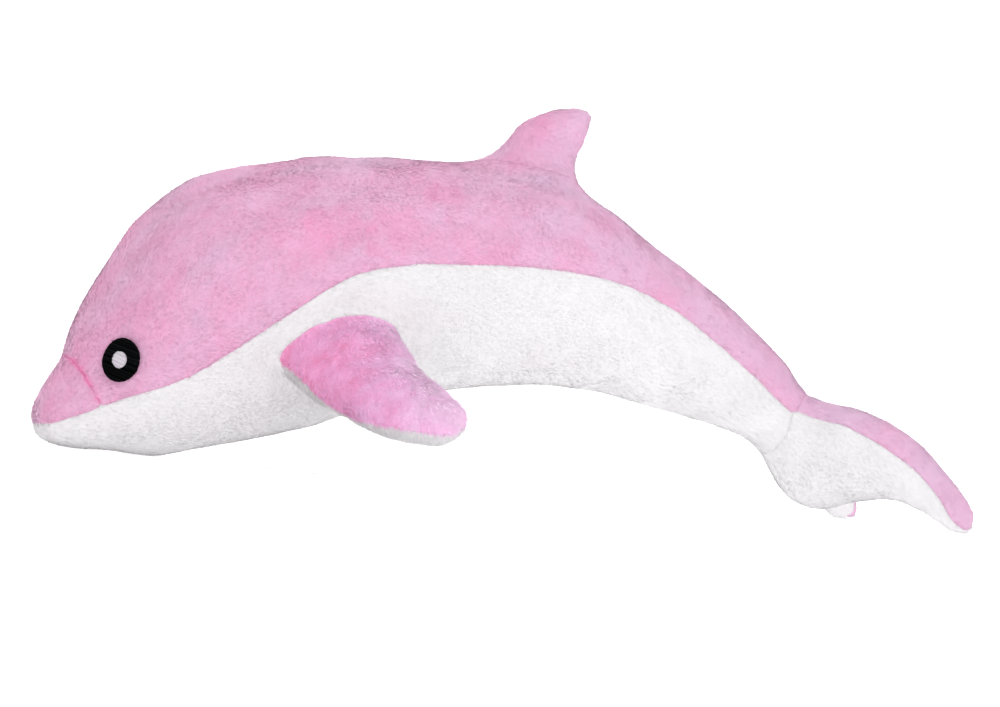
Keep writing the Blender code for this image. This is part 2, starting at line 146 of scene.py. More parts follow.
# How far single tufts stray: radians of their way and lean, then shares, then tone.
STRAY_WAY, STRAY_LEAN, STRAY_LENGTH, STRAY_SIDE, STRAY_TONE = 0.3, 0.13, 0.14, 0.4, 0.3
LOT = 60000                   # most tufts in one piece
EYES = ("eye_left", "eye_left_highlight", "eye_right", "eye_right_highlight")
EYE_CLEARANCE = 0.9 * MM
EYES_END = -0.15              # the eyes lie in front of this
HEAD_END = -0.13              # in front of this the pile begins to lie up the head
HEAD_BLEND = 0.07
FOREHEAD = 0.3                # of HEAD_BLEND above the floor, where it does so
DROOP, HEAD_RISE = -0.35, 1.3  # downwards on the body and upwards on the head, for 1 tailwards
FLIPPER_DRIFT = 0.25          # tailwards, for 1 downwards

# Smooth unevenness, in layers: how much, the size of its features and the seed of its draw.
LUMPS = ((0.4 * MM, 45 * MM, 29),)                      # of the hand-filled skin
SWIRLS = ((0.55, 34 * MM, 3), (0.3, 11 * MM, 5))        # of brushing, in radians
LEANS = ((0.10, 17 * MM, 11),)                          # of the pile, in radians
LENGTHS = ((0.12, 9 * MM, 13),)                         # of the pile, as shares
SHADES = ((0.35, 46 * MM, 17), (0.22, 19 * MM, 19), (0.15, 7 * MM, 23))
PATCH_EDGES = ((0.22, 14 * MM, 31),)                    # as shares of a patch's size
# How much the painted shade of the beak's crease, with its thread showing, varies along it.
CREASE_SHADE_AND_THREAD = ((0.8, 8 * MM, 41),)                     # along the beak's crease
LOCKS = ((0.3, 7 * MM, 37),)                            # of long pile

# Tone says how deep the pile looks: about -1 to 1, and 2 where it is parted. Near the seams, and
# most in the beak's crease, it also carries painted shade.
TONE_STEPS = (-0.9, -0.3, 0.45, 1.5)  # where each tone gives way to the next
TONE_LOW, TONE_HIGH = -1.4, 2.4       # tones at the ends of the skin's colour ramp
# Patches that a hand has brushed the other way, and that look deeper: (x, y, z) and size.
BRUSHED = (
    ((-0.130, -0.055, 0.125), 13 * MM),
    ((-0.112, -0.053, 0.118), 10 * MM),
    ((-0.095, -0.055, 0.126), 16 * MM),
    ((-0.062, -0.045, 0.145), 13 * MM),
    ((0.007, -0.045, 0.118), 14 * MM),
    ((-0.120, 0.055, 0.120), 15 * MM),
    ((-0.050, 0.048, 0.135), 16 * MM),
    ((0.025, 0.040, 0.120), 13 * MM),
)
PATCH_TONE, PATCH_BLEND = 0.5, 3 * MM
PALER_TAIL, PALER_FROM, PALER_OVER = 0.35, -0.04, 0.12   # the back pales towards the tail
HEAD_SHARE = -0.6             # and the head deepens by this share of it
PALER_FLUKES = 0.35
# Painted shade in the seams: the pile is drawn deeper near every seam, where it also parts, and
# deeper still in the beak's crease, with its thread showing.
SEAM_SHADE_TONE, SEAM_BLEND = 0.35, 2.5 * MM
CREASE_SHADE_TONE, CREASE_WIDTH = 1.6, 0.6 * MM
# The flippers' long pile hangs apart and deep in front, and lies smooth and pale behind.
FLIPPER_TONE, FLIPPER_MIDDLE, FLIPPER_BLEND = 0.4, -0.115, 18 * MM
FLIPPER_PALEST, FLIPPER_DEEPEST = -1.1, 1.5

# Embroidery. Real thread is about 0.3 mm thick. It is drawn coarser, in rows that overlap.
THREAD = 0.23 * MM            # its radius
ROW_STEP = 0.42 * MM
STITCH = 4.2 * MM
STITCH_SHIFT = 0.37           # of a stitch, from each row to the next
STITCH_DIP = 0.10 * MM
POINT_STEP = 0.7 * MM         # between a thread's points
TUCK = 0.5 * MM               # of a thread's ends, into the plush
ON_FACE = 0.94                # of a row's half length, where the eye's face is still sure
TALL_ON_FACE = 0.985          # and of a row's height
SIGHT = 0.02                  # how far out a thread looks for the eye's face

# Studio: the photo's camera, a plain white sweep and soft light.
TARGET = Vector((-0.0082, 0.0, 0.0705))
CAMERA_DISTANCE = 1.68
CAMERA_AZIMUTH = radians(24)  # in front of square on
CAMERA_ELEVATION = radians(-2)
CAMERA_ROLL = radians(6)
LENS, SENSOR = 118.0, 36.0    # in the camera's millimetres
CLIP_START = 0.05
PAPER = "F4F4F4"
SHEET = 8.0
BACKDROP_PLACE = (0, 3.0, 3.9)
FLOOR_GLOW, BACKDROP_GLOW = 0.35, 0.9
SOFTBOX = 1.8                 # across
LAMPS = (
    ("front softbox", 17.0, (0.15, -1.75, 1.45), (0, 0, 0.08)),
    ("overhead softbox", 6.0, (0.3, -0.3, 2.2), (0, 0, 0.05)),
)
ROOM_LIGHT = 0.62


def linear(code):
    """An sRGB colour such as "ECEAEC" as linear RGBA."""
    parts = [int(code[k:k + 2], 16) / 255 for k in (0, 2, 4)]
    parts = [c / 12.92 if c <= 0.04045 else ((c + 0.055) / 1.055) ** 2.4 for c in parts]
    return (*parts, 1.0)


def node(tree, kind, settings=None, **links):
    """Adds a shader node, with settings as attributes or input values, and links by input name."""
    made = tree.nodes.new(kind)
    for key, value in (settings or {}).items():
        if isinstance(key, str) and hasattr(made, key):
            setattr(made, key, value)
        else:
            made.inputs[key].default_value = value
    for key, source in links.items():
        tree.links.new(source, made.inputs[key.replace("_", " ")])
    return made


def shader(name, colour, roughness, **settings):
    """A Principled material of one colour. settings are input names with _ for a space."""
    made = bpy.data.materials.new(name)
    made.use_nodes = True
    surface = made.node_tree.nodes["Principled BSDF"]
    surface.inputs["Base Color"].default_value = linear(colour)
    surface.inputs["Roughness"].default_value = roughness
    for key, value in settings.items():
        surface.inputs[key.replace("_", " ")].default_value = value
    return made


# Pile in tones, light to deep: brushed one way it looks pale, the other way deep.
# The deepest tone, parted, also paints the shade in the seams and the beak's crease.
LAYS = ("brushed away", "lying", "upright", "brushed towards", "parted")
PINK = ("E1BCD8", "E3B7D5", "E5B0D0", "E8A4C9", "EC87B8")
WHITE = ("ECEAEC", "EAE8EA", "E8E6E8", "E6E3E5", "E0DCDE")
# Long pile lets light through, and that light is painted in: these are the pink drawn lighter. It
# hangs apart in deep streaks.
LONG_PINK_PAINTED_LIT = ("FFD8F6", "FFD0F4", "FFC5EF", "FFB4E2", "FC9FCE")
BLOOM, PARTED_BLOOM = 0.1, 0.05  # parted pile shows fewer fibre ends


def plush(name, colour, bloom=BLOOM):
    """Polyester pile: matt, with the pale bloom of fibre ends seen side on."""
    return shader(name, colour, 0.85, Sheen_Weight=bloom, Sheen_Roughness=0.5,
                  Specular_IOR_Level=0.25, IOR=1.54)


def pile_finishes(name, colours):
    """The tufts' finishes, one for each lay of the pile."""
    return [plush("%s polyester pile, %s" % (name, lay), colour,
                  PARTED_BLOOM if lay == "parted" else BLOOM)
            for lay, colour in zip(LAYS, colours)]


def pile_skin(name, colours):
    """The skin under the tufts: short dense pile, with a fine nap along the toy."""
    made = plush(name, colours[2])
    tree = made.node_tree
    surface = tree.nodes["Principled BSDF"]
    # The tone also carries the painted shade of the seams and the beak's crease.
    tone = node(tree, "ShaderNodeAttribute", {"attribute_name": "tone"})
    place_at = node(tree, "ShaderNodeTexCoord")
    # The nap's streaks are 0.7 mm wide and 2 mm long, as clumps of real pile are.
    nap_place = node(tree, "ShaderNodeMapping", {"Scale": (0.5 / MM, 1.4 / MM, 1.4 / MM)},
                     Vector=place_at.outputs["Object"])
    nap = node(tree, "ShaderNodeTexNoise", {"Scale": 1.0, "Detail": 3.0, "Roughness": 0.6},
               Vector=nap_place.outputs["Vector"])
    # They vary the tone by about one step either way.
    streak = node(tree, "ShaderNodeMapRange",
                  {"From Min": 0.2, "From Max": 0.8, "To Min": -0.55, "To Max": 0.55},
                  Value=nap.outputs["Fac"])
    both = node(tree, "ShaderNodeMath", {"operation": "ADD"})
    tree.links.new(tone.outputs["Fac"], both.inputs[0])
    tree.links.new(streak.outputs["Result"], both.inputs[1])
    share = node(tree, "ShaderNodeMapRange", {"From Min": TONE_LOW, "From Max": TONE_HIGH},
                 Value=both.outputs["Value"])
    ramp = node(tree, "ShaderNodeValToRGB", Fac=share.outputs["Result"])
    stops = ramp.color_ramp.elements
    for low, high, colour in zip(TONE_STEPS, TONE_STEPS[1:], colours[1:-1]):
        middle = ((low + high) / 2 - TONE_LOW) / (TONE_HIGH - TONE_LOW)
        stops.new(middle).color = linear(colour)
    stops[0].color, stops[-1].color = linear(colours[0]), linear(colours[-1])
    tree.links.new(ramp.outputs["Color"], surface.inputs["Base Color"])
    bump = node(tree, "ShaderNodeBump", {"Strength": 0.22, "Distance": 0.4 * MM},
                Height=nap.outputs["Fac"])
    tree.links.new(bump.outputs["Normal"], surface.inputs["Normal"])
    return made


# The flippers take the long pink, painted lighter for the light through their long pile.
PILE = {
    "pink_plush": pile_finishes("pink", PINK),
    "white_plush": pile_finishes("white", WHITE),
    "long_pink_plush_painted_lit": pile_finishes("long pink", LONG_PINK_PAINTED_LIT),
}
SKIN = {
    "pink_plush": pile_skin("pink polyester plush", PINK),
    "long_pink_plush_painted_lit": pile_skin("long pink polyester plush", LONG_PINK_PAINTED_LIT),
    "white_plush": pile_skin("white polyester plush", WHITE),
}


def merged(names):
    """The CAD nodes joined into one bmesh, with their loose triangles merged."""
    made = bmesh.new()
    for name in names:
        part = bmesh.new()
        part.from_mesh(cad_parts[name].data)
        bmesh.ops.remove_doubles(part, verts=part.verts, dist=WELD)
        copy = bpy.data.meshes.new(name + " copy")
        part.to_mesh(copy)
        part.free()
        copy.transform(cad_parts[name].matrix_world)
        made.from_mesh(copy)
        bpy.data.meshes.remove(copy)
    return made


def search_tree(names):
    """The CAD nodes' surface, to find its nearest points or to cast rays at it."""
    shape = merged(names)
    tree = BVHTree.FromBMesh(shape)
    shape.free()
    return tree


def neighbours(mesh):
    """The edges of a mesh as two index arrays, and each vertex's count of them."""
    ends = np.empty(len(mesh.edges) * 2, np.int32)
    mesh.edges.foreach_get("vertices", ends)
    a, b = ends[0::2], ends[1::2]
    total = len(mesh.vertices)
    return a, b, np.bincount(a, minlength=total) + np.bincount(b, minlength=total)


def averaged(values, net, rounds, share=0.5):
    """Values at the vertices, each drawn towards the mean of its neighbours."""
    a, b, count = net
    values = np.array(values, dtype=np.float64)
    flat = values.reshape(len(values), -1)
    for _ in range(rounds):
        for k in range(flat.shape[1]):
            column = flat[:, k]
            total = (np.bincount(a, column[b], minlength=len(column))
                     + np.bincount(b, column[a], minlength=len(column)))
            flat[:, k] += share * (total / np.maximum(count, 1) - column)
    return values


def points_of(mesh):
    values = np.empty(len(mesh.vertices) * 3)
    mesh.vertices.foreach_get("co", values)
    return values.reshape(-1, 3)


def normals_of(mesh):
    values = np.empty(len(mesh.vertices) * 3, np.float32)
    mesh.vertex_normals.foreach_get("vector", values)
    return values.reshape(-1, 3).astype(np.float64)


def values_of(mesh, name):
    values = np.empty(len(mesh.vertices), np.float32)
    mesh.attributes[name].data.foreach_get("value", values)
    return values.astype(np.float64)


def place(mesh, points):
    mesh.vertices.foreach_set("co", np.ascontiguousarray(points, np.float32).ravel())
    mesh.update()


def unit(vectors):
    return vectors / np.maximum(np.linalg.norm(vectors, axis=1, keepdims=True), 1e-12)


def near(points, centre, reach):
    """1 at a spot and at its twin on the other side, fading to 0 past reach."""
    share = np.zeros(len(points))
    for side in (1, -1) if centre[1] else (1,):
        distance = np.linalg.norm(points - (centre[0], side * centre[1], centre[2]), axis=1)
        share += np.exp(-(distance / reach) ** 2)
    return share


def waves(points, size, seed):
    """Smooth noise from nine crossed waves, about -1 to 1, with features of that size."""
    draw = np.random.default_rng(seed)
    total = np.zeros(len(points))
    for _ in range(9):
        axis = draw.normal(size=3)
        axis /= np.linalg.norm(axis)
        stretch = draw.uniform(0.6, 1.7)
        total += np.sin(points @ axis * (2 * pi / (size * stretch)) + draw.uniform(0, 2 * pi))
    return total / 3.0


def uneven(points, layers):
    """The sum of some layers of smooth unevenness at the points."""
    return sum(amount * waves(points, size, seed) for amount, size, seed in layers)


def panel_distances(points):
    """How far each point is from each panel's CAD nodes: one column for each panel."""
    columns = []
    for names, _slot, _fill in PANELS.values():
        tree = search_tree(names)
        columns.append([tree.find_nearest(Vector(p))[3] for p in points])
    return np.array(columns).T


def one_skin():
    """All soft CAD nodes remeshed into one closed skin."""
    names = [name for panels, _slot, _fill in PANELS.values() for name in panels]
    names += sorted({name for filling in FILLING.values() for name in filling})
    joined = bpy.data.meshes.new("toy form")
    form = merged(names)
    form.to_mesh(joined)
    form.free()
    made = bpy.data.objects.new("toy form", joined)
    bpy.context.scene.collection.objects.link(made)
    remesh = made.modifiers.new("one skin", "REMESH")
    remesh.mode = "VOXEL"
    remesh.voxel_size = VOXEL
    depsgraph = bpy.context.evaluated_depsgraph_get()
    skin = bpy.data.meshes.new_from_object(made.evaluated_get(depsgraph))
    bpy.data.objects.remove(made)
    return skin


def keep_outside(skin):
    """Leaves the skin's inner cavities out, and returns a tree of what stays."""
    shape = bmesh.new()
    shape.from_mesh(skin)
    highest = max(shape.verts, key=lambda v: v.co.z)
    seen, front = {highest}, [highest]
    while front:
        vert = front.pop()
        for edge in vert.link_edges:
            other = edge.other_vert(vert)
            if other not in seen:
                seen.add(other)
                front.append(other)
    bmesh.ops.delete(shape, geom=[v for v in shape.verts if v not in seen], context="VERTS")
    bmesh.ops.recalc_face_normals(shape, faces=shape.faces)
    shape.to_mesh(skin)
    tree = BVHTree.FromBMesh(shape)
    shape.free()
    return tree


def faired(points, net, on_body, target):
    """Points of the skin evened out, and held to the remeshed CAD surface."""
    for _look in range(LOOKS_BACK):
        for k in range(BODY_FAIRING):
            share = on_body if k >= FIN_FAIRING else 1.0
            points = averaged(averaged(points, net, 1, SHRINK * share), net, 1, SWELL * share)
        pull = np.zeros_like(points)
        for i, point in enumerate(points):
            spot, facing, _face, _distance = target.find_nearest(Vector(point))
            pull[i] = np.array(spot) + np.array(facing) * PLUMP - point
        # Facets are evened out, and thin edges, which were drawn in, go back in full.
        size = np.linalg.norm(pull, axis=1, keepdims=True)
        lost = pull * np.maximum(1 - FACET / np.maximum(size, 1e-9), 0.0)
        body_part = averaged(pull, net, BODY_EVENING)
        fin_part = averaged(pull - lost, net, FIN_EVENING) + averaged(lost, net, EDGE_EVENING)
        points = points + fin_part + (body_part - fin_part) * on_body[:, None]
    return points


def stuff(skin, net, points):
    """Puts the skin at the points, pushed out where the filling is full and in where slack."""
    place(skin, points)
    bulge = uneven(points, LUMPS)
    for centre, reach, amount in FILLING_SPOTS:
        bulge += amount * near(points, centre, reach)
    points = points + unit(averaged(normals_of(skin), net, BULGE_EVENING)) * bulge[:, None]
    points[:, 2] = np.maximum(points[:, 2], FLOOR_CLEARANCE)
    place(skin, points)


def soft_form():
    """The toy's whole outside as one fair, closed skin, and how far it is from each panel."""
    skin = one_skin()
    target = keep_outside(skin)
    net = neighbours(skin)
    points = points_of(skin)
    away = panel_distances(points)
    fins = [k for k, name in enumerate(PANELS) if name.startswith(("dorsal", "flipper", "fluke"))]
    from_fins = np.min(away[:, fins], axis=1)
    on_body = np.clip((from_fins - FIN_EDGE[0]) / (FIN_EDGE[1] - FIN_EDGE[0]), 0, 1)
    stuff(skin, net, faired(points, net, on_body, target))
    return skin, averaged(away, net, LABEL_EVENING)


def hollowed(skin, away):
    """Eases the corners where fins leave the body. away is from panel_distances."""
    net = neighbours(skin)
    points = points_of(skin)
    names = list(PANELS)
    body = np.minimum.reduce([away[:, names.index(n)] for n in ("back_plush", "belly_plush")])
    share = np.zeros(len(points))
    for name, reach in HOLLOW.items():
        fin = away[:, names.index(name)]
        share = np.maximum(share, np.clip(1 - np.maximum(fin, body) / reach, 0, 1))
    share = (share * share * (3 - 2 * share))[:, None]
    for _ in range(HOLLOW_ROUNDS):
        points += share * (averaged(points, net, 1) - points)
    place(skin, points)


def cut_along_seams(skin, away):
    """The skin as a bmesh of triangles with edges along its seams, and each face's panel."""
    nearest = np.argmin(away, axis=1)
    shape = bmesh.new()
    shape.from_mesh(skin)
    bmesh.ops.triangulate(shape, faces=shape.faces)
    shape.verts.ensure_lookup_table()
    label = shape.verts.layers.int.new("panel")
    for vert in shape.verts:
        vert[label] = int(nearest[vert.index])
    crossings = []
    for edge in shape.edges:
        v, w = edge.verts
        a, b = v[label], w[label]
        if a != b:
            ahead = away[v.index][b] - away[v.index][a]
            behind = away[w.index][a] - away[w.index][b]
            share = ahead / (ahead + behind + 1e-12)
            crossings.append((edge, v, min(max(share, CUT_MARGIN), 1 - CUT_MARGIN)))
    cuts = []
    for edge, vert, share in crossings:
        _edge, new = bmesh.utils.edge_split(edge, vert, share)
        new[label] = -1
        cuts.append(new)
    bmesh.ops.connect_verts(shape, verts=cuts)
    bmesh.ops.triangulate(shape, faces=[f for f in shape.faces if len(f.verts) > 3])

    # A face takes its panel from its corners, or from a neighbour where all three are cuts.
    panel = shape.faces.layers.int.new("panel")
    for face in shape.faces:
        held = [v[label] for v in face.verts if v[label] >= 0]
        face[panel] = max(set(held), key=held.count) if held else -1
    for face in shape.faces:
        if face[panel] < 0:
            around = [f[panel] for e in face.edges for f in e.link_faces if f[panel] >= 0]
            face[panel] = around[0] if around else 0
    return shape


def draw_seams_in(shape):
    """Sinks the skin along its seams, and notes each vertex's way from seam and beak's crease."""
    names = list(PANELS)
    panel = shape.faces.layers.int["panel"]
    seams = [e for e in shape.edges
             if len(e.link_faces) == 2 and e.link_faces[0][panel] != e.link_faces[1][panel]]
    tree, crease = KDTree(2 * len(seams)), KDTree(2 * len(seams))
    depths = []
    for i, edge in enumerate(seams):
        joined = {names[f[panel]] for f in edge.link_faces}
        depths.append(next(depth for panels, depth in SEAM_DEPTHS if panels <= joined))
        for vert in edge.verts:
            tree.insert(vert.co, i)
            if {"beak_plush", "back_plush"} <= joined:
                crease.insert(vert.co, i)
    tree.balance()
    crease.balance()
    shape.normal_update()
    from_seam = shape.verts.layers.float.new("from_seam")
    from_crease = shape.verts.layers.float.new("from_crease")
    moves = []
    for vert in shape.verts:
        _co, index, distance = tree.find(vert.co)
        vert[from_seam] = distance
        vert[from_crease] = crease.find(vert.co)[2]
        if distance < SEAM_REACH:
            share = 0.5 + 0.5 * cos(pi * distance / SEAM_REACH)
            moves.append((vert, vert.normal * (-depths[index] * share)))
    for vert, move in moves:
        vert.co += move
        vert.co.z = max(vert.co.z, FLOOR_CLEARANCE)


def sewn_panels(skin, away):
    """Cuts the skin along its seams and returns {panel name: mesh}."""
    hollowed(skin, away)
    names = list(PANELS)
    for name, centre, reach, width in EASED:
        away[:, names.index(name)] += width * near(points_of(skin), centre, reach)
    shape = cut_along_seams(skin, away)
    draw_seams_in(shape)
    panels = {}
    for k, name in enumerate(names):
        part = shape.copy()
        panel = part.faces.layers.int["panel"]
        bmesh.ops.delete(part, geom=[f for f in part.faces if f[panel] != k], context="FACES")
        mesh = bpy.data.meshes.new(name)
        part.to_mesh(mesh)
        part.free()
        panels[name] = mesh
    shape.free()
    return panels


def piece(name, mesh, replaced=()):
    """Puts a mesh in the scene as a piece of the toy."""
    made = bpy.data.objects.new(name, mesh)
    bpy.context.scene.collection.objects.link(made)
    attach(made, "root")
    if replaced:
        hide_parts(*replaced)
    return made


def shell(made):
    """Gives a skin the backing's thickness, inwards."""
    solid = made.modifiers.new("backing", "SOLIDIFY")
    solid.thickness = CLOTH
    solid.offset = -1.0
    solid.use_even_offset = False
    made.data.shade_smooth()


def scatter(mesh, density):
    """Points spread evenly over a mesh, with its smooth normal and its tone at each."""
    mesh.calc_loop_triangles()
    corners = np.empty(len(mesh.loop_triangles) * 3, np.int32)
    mesh.loop_triangles.foreach_get("vertices", corners)
    corners = corners.reshape(-1, 3)
    points, normals = points_of(mesh), normals_of(mesh)
    a, b, c = (points[corners[:, k]] for k in range(3))
    areas = np.linalg.norm(np.cross(b - a, c - a), axis=1) / 2
    count = int(areas.sum() / MM ** 2 * density)
    where = (np.arange(count) + DRAWS.random(count)) / count * areas.sum()
    chosen = np.minimum(np.searchsorted(np.cumsum(areas), where), len(areas) - 1)
    u, v = DRAWS.random(count), DRAWS.random(count)
    over = u + v > 1
    u[over], v[over] = 1 - u[over], 1 - v[over]
    weights = np.stack([1 - u - v, u, v], axis=1)
    spots = sum(points[corners[chosen, k]] * weights[:, k:k + 1] for k in range(3))
    facing = sum(normals[corners[chosen, k]] * weights[:, k:k + 1] for k in range(3))
    tones = values_of(mesh, "tone")
    tone = sum(tones[corners[chosen, k]] * weights[:, k] for k in range(3))
    return spots, unit(facing), tone


def tuft():
    """One tuft, a spike of unit size: points and faces."""
    shape = bmesh.new()
    bmesh.ops.create_cone(shape, segments=TUFT_SIDES, radius1=1.0, radius2=0.0, depth=1.0,
                          matrix=Matrix.Translation((0, 0, 0.5)))
    bmesh.ops.remove_doubles(shape, verts=shape.verts, dist=TUFT_WELD)
    shape.verts.index_update()
    points = np.array([v.co for v in shape.verts])
    faces = np.array([[v.index for v in f.verts] for f in shape.faces if len(f.verts) == 3])
    shape.free()
    return points, faces


def clear_of_eyes(spots):
    """True for the points that no eye covers."""
    tree = search_tree(EYES)
    keep = np.ones(len(spots), bool)
    for i in np.flatnonzero(spots[:, 0] < EYES_END):
        keep[i] = tree.find_nearest(Vector(spots[i]))[3] > EYE_CLEARANCE
    return keep


def pile(name, mesh, finishes, kind, brush):
    """Grows pile on a skin, in pieces from nose to tail that stay a workable size."""
    spots, facing, tone = scatter(mesh, kind.density)
    keep = clear_of_eyes(spots)
    spots, facing, tone = spots[keep], facing[keep], tone[keep]
    order = np.argsort(spots[:, 0], kind="stable")
    lots = np.array_split(order, ceil(len(order) / LOT))
    for k, lot in enumerate(lots):
        label = name if len(lots) == 1 else "%s_%d" % (name, k + 1)
        tufts(label, spots[lot], facing[lot], tone[lot], finishes, kind, brush)


def brushed_tufts(spots, facing, kind, brush):
    """Each tuft's long axis and its two short ones, as long as the tuft is that way."""
    count = len(spots)
    stroke = brush(spots)
    stroke = unit(stroke - facing * np.sum(stroke * facing, axis=1, keepdims=True))
    # The hand leaves swirls in the pile, and each tuft strays a little.
    swirl = uneven(spots, SWIRLS) + DRAWS.normal(0, STRAY_WAY, count)
    across = np.cross(facing, stroke)
    stroke = stroke * np.cos(swirl)[:, None] + across * np.sin(swirl)[:, None]
    tilt = kind.lean + uneven(spots, LEANS) + DRAWS.normal(0, STRAY_LEAN, count)
    axis = unit(facing * np.cos(tilt)[:, None] + stroke * np.sin(tilt)[:, None])
    long = kind.length * (1 + uneven(spots, LENGTHS) + DRAWS.normal(0, STRAY_LENGTH, count))
    long = np.clip(long, SHORTEST * kind.length, LONGEST * kind.length)
    side = unit(np.cross(axis, facing + DRAWS.normal(0, STRAY_SIDE, (count, 3))))
    third = np.cross(axis, side)
    wide = kind.radius * DRAWS.uniform(THINNEST, THICKEST, count)
    return axis, side, third, long, wide


def tufts(name, spots, facing, tone, finishes, kind, brush):
    """Pile at those spots. brush gives the way that it is brushed at each point."""
    count = len(spots)
    axis, side, third, long, wide = brushed_tufts(spots, facing, kind, brush)
    shape, faces = tuft()
    across, along, up = shape[None, :, 0:1], shape[None, :, 1:2], shape[None, :, 2:3]
    roots = spots - facing * (ROOT_SUNK * kind.radius)
    points = (roots[:, None, :]
              + across * (side * wide[:, None])[:, None, :]
              + along * (third * wide[:, None])[:, None, :]
              + up * (axis * long[:, None])[:, None, :])
    points[:, :, 2] = np.maximum(points[:, :, 2], FLOOR_CLEARANCE)
    # Tufts are lit as the skin under them is, so that the pile shades softly.
    if kind is LONG_PILE:
        facing = unit(facing + np.sign(spots[:, 1:2]) * np.array((0, HANG, 0)))
    outward = (facing[:, None, :]
               + across * side[:, None, :] * TUFT_ROUND
               + along * third[:, None, :] * TUFT_ROUND)
    made = bpy.data.meshes.new(name)
    made.vertices.add(count * len(shape))
    made.vertices.foreach_set("co", points.astype(np.float32).ravel())
    first = np.arange(count) * len(shape)
    corners = (faces[None, :, :] + first[:, None, None]).reshape(-1, 3)
    made.loops.add(corners.size)
    made.loops.foreach_set("vertex_index", corners.astype(np.int32).ravel())
    made.polygons.add(len(corners))
    made.polygons.foreach_set("loop_start", np.arange(0, corners.size, 3, dtype=np.int32))

    tone = tone + DRAWS.normal(0, STRAY_TONE, count)
    index = np.digitize(tone, TONE_STEPS).astype(np.int32)
    for finish in PILE[finishes]:
        made.materials.append(finish)
    made.update(calc_edges=True)
    made.polygons.foreach_set("material_index", np.repeat(index, len(faces)))
    made.shade_smooth()
    outward = unit(outward.reshape(-1, 3)).astype(np.float32)
    made.normals_split_custom_set_from_vertices(outward)
    grown = piece(name, made)
    grown.visible_shadow = False  # fine fibres let light through, and cast no hard shadow


def towards_tail(spots):
    """Pile on the body lies towards the tail and a little down, and up the front of the head."""
    stroke = np.zeros_like(spots)
    stroke[:, 0] = 1.0
    front = np.clip((HEAD_END - spots[:, 0]) / HEAD_BLEND, 0, 1)
    high = np.clip(spots[:, 2] / HEAD_BLEND - FOREHEAD, 0, 1)
    stroke[:, 2] = DROOP + HEAD_RISE * front * high
    return stroke


def downwards(spots):
    """Pile on the flippers hangs down and a little towards the tail."""
    stroke = np.zeros_like(spots)
    stroke[:, 0] = FLIPPER_DRIFT
    stroke[:, 2] = -1.0
    return stroke


def tones(mesh, name):
    """Writes how deep the pile looks at each vertex of a panel, with painted shade near its seams
    and in the beak's crease.
    """
    points = points_of(mesh)
    tone = uneven(points, SHADES)
    for centre, size in BRUSHED:
        edge = size * (1 + uneven(points, PATCH_EDGES))
        distance = np.linalg.norm(points - centre, axis=1)
        tone += PATCH_TONE * np.clip((edge - distance) / PATCH_BLEND + 0.5, 0, 1)
    paler = PALER_TAIL * np.clip((points[:, 0] - PALER_FROM) / PALER_OVER, HEAD_SHARE, 1)
    tone -= paler + (PALER_FLUKES if name.startswith("fluke") else 0.0)
    # Painted shade: deeper near the seams, where the pile also parts.
    tone += SEAM_SHADE_TONE * np.exp(-values_of(mesh, "from_seam") / SEAM_BLEND)
    # Painted shade in the beak's crease, with its thread showing.
    if name in ("back_plush", "beak_plush"):
        thread = CREASE_SHADE_TONE + uneven(points, CREASE_SHADE_AND_THREAD)
        tone += thread * np.exp(-(values_of(mesh, "from_crease") / CREASE_WIDTH) ** 2)
    if name.startswith("flipper"):
        behind = (points[:, 0] - FLIPPER_MIDDLE) / FLIPPER_BLEND
        tone += np.clip(FLIPPER_TONE - behind, FLIPPER_PALEST, FLIPPER_DEEPEST)
        tone += uneven(points, LOCKS)
    layer = mesh.attributes.new("tone", "FLOAT", "POINT")
    layer.data.foreach_set("value", tone.astype(np.float32))


def dress():
    """Sews the panels and grows their pile."""
    panels = sewn_panels(*soft_form())
    for name, (replaced, slot, fill) in PANELS.items():
        mesh = panels[name]
        tones(mesh, name)
        if name.startswith("flipper"):
            kind, brush = LONG_PILE, downwards
            finishes = "long_pink_plush_painted_lit" if slot == "pink_plush" else slot
        else:
            kind = WHITE_PILE if slot == "white_plush" else SHORT_PILE
            brush, finishes = towards_tail, slot
        pile(name.replace("plush", "pile"), mesh, finishes, kind, brush)
        mesh.materials.append(SKIN[finishes])
        shell(piece(name, mesh, replaced + FILLING.get(name, ())))


def oval(eye):
    """An eye's middle, its outward, long and short axes, and half its length and width."""
    shape = merged((eye,))
    points = np.array([v.co for v in shape.verts])
    shape.free()
    middle = points.mean(axis=0)
    _left, _sizes, (tall, wide, out) = np.linalg.svd(points - middle, full_matrices=False)
    out = out * np.sign(out[1] * middle[1])
    tall = tall * np.sign(tall[2])
    reach = [np.abs((points - middle) @ axis).max() for axis in (tall, wide)]
    return middle, out, tall, wide, reach


def thread_path(row, ragged, eye_oval, face, lift):
    """The points of one row of thread over an eye's face."""
    middle, out, tall, wide, (half_tall, half_wide) = eye_oval
    v = (row + 0.5) * ROW_STEP - half_tall
    reach = half_wide * np.sqrt(max(1 - (v / half_tall) ** 2, 0.0))
    left = -reach - ragged * DRAWS.random()
    right = reach + ragged * DRAWS.random()
    steps = max(3, int((right - left) / POINT_STEP))
    path = []
    for j in range(steps + 1):
        u = left + (right - left) * j / steps
        held = np.clip(u, -ON_FACE * reach, ON_FACE * reach)
        start = Vector(middle + wide * held + tall * v * TALL_ON_FACE + out * SIGHT)
        hit = face.ray_cast(start, Vector(-out))[0]
        if hit is None:
            continue
        dip = STITCH_DIP * (0.5 + 0.5 * cos(2 * pi * (u / STITCH + STITCH_SHIFT * row)))
        height = lift - dip - (TUCK if j in (0, steps) else 0.0)
        path.append(Vector(hit) + Vector(out) * height + Vector(wide) * (u - held))
    return path


